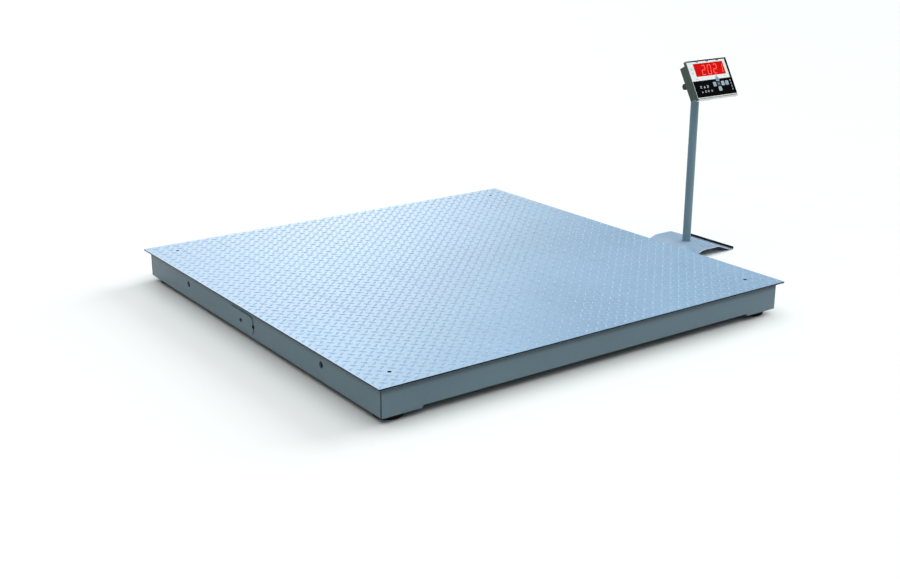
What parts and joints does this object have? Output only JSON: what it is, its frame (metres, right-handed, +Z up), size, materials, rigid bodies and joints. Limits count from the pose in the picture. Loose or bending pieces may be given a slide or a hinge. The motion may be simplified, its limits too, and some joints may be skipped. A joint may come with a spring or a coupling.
{
  "type": "platform shipping scale",
  "caption": "Low square tread-plate weighing platform on levelling feet, with a free-standing column that carries a tilting weight indicator.",
  "frame": {"origin": "on the floor, under the middle of the whole set's bounding box (platform and stand together)", "axes": "+X from the platform towards the column stand, +Y away from the operator, +Z up"},
  "size_m": [1.918, 1.5, 0.7008],
  "materials": {
    "frame_paint": "powder coat, fine texture",
    "deck_paint": "powder coat over tread plate",
    "zinc_steel": "zinc plated",
    "black_steel": "blackened",
    "rubber": "matt",
    "grey_plastic": "fine spark texture",
    "black_plastic": "satin",
    "circuit_board": "solder resist",
    "cable_sheath": "smooth sheath",
    "housing_paint": "satin paint",
    "stainless_steel": "fine brushed",
    "overlay_film": "printed film, black with a white panel",
    "red_window": "clear red filter",
    "led_epoxy": "diffused epoxy",
    "battery_wrap": "shrink wrap",
    "key_pale": "silicone cap",
    "key_dark": "silicone cap"
  },
  "bodies": {
    "platform": {"deck_plate": "deck_paint", "side_beam_left": "frame_paint", "side_beam_right": "frame_paint", "front_skirt": "frame_paint", "rear_skirt": "frame_paint", "cross_ribs": "frame_paint", "long_ribs": "frame_paint", "lifting_nuts": "zinc_steel", "cell_blocks": "frame_paint", "load_cells": "zinc_steel", "cell_bolts": "zinc_steel", "foot_lock_nuts": "zinc_steel", "junction_box": "grey_plastic", "junction_box_lid": "grey_plastic", "junction_box_board": "circuit_board", "junction_box_glands": "black_plastic", "junction_box_bracket": "frame_paint", "access_cover": "frame_paint", "cover_clamp_bar": "frame_paint", "cover_screw": "black_steel", "outlet_grommet": "rubber", "load_cell_cables": "cable_sheath", "cable_clips": "black_plastic"},
    "foot_pad_1": {"foot_rubber_1": "rubber", "foot_cup_1": "zinc_steel"},
    "foot_screw_1": {"foot_stud_1": "zinc_steel"},
    "foot_pad_2": {"foot_rubber_2": "rubber", "foot_cup_2": "zinc_steel"},
    "foot_screw_2": {"foot_stud_2": "zinc_steel"},
    "foot_pad_3": {"foot_rubber_3": "rubber", "foot_cup_3": "zinc_steel"},
    "foot_screw_3": {"foot_stud_3": "zinc_steel"},
    "foot_pad_4": {"foot_rubber_4": "rubber", "foot_cup_4": "zinc_steel"},
    "foot_screw_4": {"foot_stud_4": "zinc_steel"},
    "stand": {"stand_base": "deck_paint", "column_tube": "frame_paint", "column_plug": "zinc_steel", "column_fasteners": "zinc_steel", "column_head": "frame_paint", "tilt_bolt": "stainless_steel", "friction_washers": "rubber"},
    "tilt_knob": {"tilt_knob": "black_plastic"},
    "indicator": {"rear_housing": "housing_paint", "front_bezel": "housing_paint", "housing_gasket": "rubber", "housing_screws": "stainless_steel", "face_overlay": "overlay_film", "display_window": "red_window", "led_digits": "led_epoxy", "display_board": "circuit_board", "main_board": "circuit_board", "battery_pack": "battery_wrap", "indicator_glands": "black_plastic"},
    "key_up": {"key_up": "key_pale"},
    "key_down": {"key_down": "key_pale"},
    "key_left": {"key_left": "key_pale"},
    "key_right": {"key_right": "key_pale"},
    "key_enter": {"key_enter": "key_dark"},
    "key_power": {"key_power": "key_pale"}
  },
  "joints": [
    {"name": "foot_1_height", "type": "slide", "parent": "platform", "child": "foot_pad_1", "axis": [0, 0, -1], "range_m": [-0.005, 0.014]},
    {"name": "foot_1_turn", "type": "hinge", "parent": "foot_pad_1", "child": "foot_screw_1", "pos_m": [-0.889, -0.68, 0], "axis": [0, 0, -1], "continuous": true},
    {"name": "foot_2_height", "type": "slide", "parent": "platform", "child": "foot_pad_2", "axis": [0, 0, -1], "range_m": [-0.005, 0.014]},
    {"name": "foot_2_turn", "type": "hinge", "parent": "foot_pad_2", "child": "foot_screw_2", "pos_m": [0.471, -0.68, 0], "axis": [0, 0, -1], "continuous": true},
    {"name": "foot_3_height", "type": "slide", "parent": "platform", "child": "foot_pad_3", "axis": [0, 0, -1], "range_m": [-0.005, 0.014]},
    {"name": "foot_3_turn", "type": "hinge", "parent": "foot_pad_3", "child": "foot_screw_3", "pos_m": [0.471, 0.68, 0], "axis": [0, 0, -1], "continuous": true},
    {"name": "foot_4_height", "type": "slide", "parent": "platform", "child": "foot_pad_4", "axis": [0, 0, -1], "range_m": [-0.005, 0.014]},
    {"name": "foot_4_turn", "type": "hinge", "parent": "foot_pad_4", "child": "foot_screw_4", "pos_m": [-0.889, 0.68, 0], "axis": [0, 0, -1], "continuous": true},
    {"name": "stand_place", "type": "slide", "parent": "platform", "child": "stand", "axis": [1, 0, 0], "range_m": [-0.15, 0.4]},
    {"name": "indicator_tilt", "type": "hinge", "parent": "stand", "child": "indicator", "pos_m": [0.833, -0.045, 0.6035], "axis": [1, 0, 0], "range_deg": [-40, 30]},
    {"name": "tilt_knob_turn", "type": "hinge", "parent": "stand", "child": "tilt_knob", "pos_m": [0.833, -0.045, 0.6035], "axis": [1, 0, 0], "continuous": true},
    {"name": "key_up_press", "type": "slide", "parent": "indicator", "child": "key_up", "axis": [0, 0.866, -0.5], "range_m": [0, 0.0012], "stiffness_N_per_m": 800, "springref_m": -0.0005},
    {"name": "key_down_press", "type": "slide", "parent": "indicator", "child": "key_down", "axis": [0, 0.866, -0.5], "range_m": [0, 0.0012], "stiffness_N_per_m": 800, "springref_m": -0.0005},
    {"name": "key_left_press", "type": "slide", "parent": "indicator", "child": "key_left", "axis": [0, 0.866, -0.5], "range_m": [0, 0.0012], "stiffness_N_per_m": 800, "springref_m": -0.0005},
    {"name": "key_right_press", "type": "slide", "parent": "indicator", "child": "key_right", "axis": [0, 0.866, -0.5], "range_m": [0, 0.0012], "stiffness_N_per_m": 800, "springref_m": -0.0005},
    {"name": "key_enter_press", "type": "slide", "parent": "indicator", "child": "key_enter", "axis": [0, 0.866, -0.5], "range_m": [0, 0.0012], "stiffness_N_per_m": 800, "springref_m": -0.0005},
    {"name": "key_power_press", "type": "slide", "parent": "indicator", "child": "key_power", "axis": [0, 0.866, -0.5], "range_m": [0, 0.0012], "stiffness_N_per_m": 800, "springref_m": -0.0005}
  ],
  "couplings": [
    {"joint": "foot_1_turn", "follows": "foot_1_height", "rad_per_m": -3590.4},
    {"joint": "foot_2_turn", "follows": "foot_2_height", "rad_per_m": -3590.4},
    {"joint": "foot_3_turn", "follows": "foot_3_height", "rad_per_m": -3590.4},
    {"joint": "foot_4_turn", "follows": "foot_4_height", "rad_per_m": -3590.4}
  ]
}
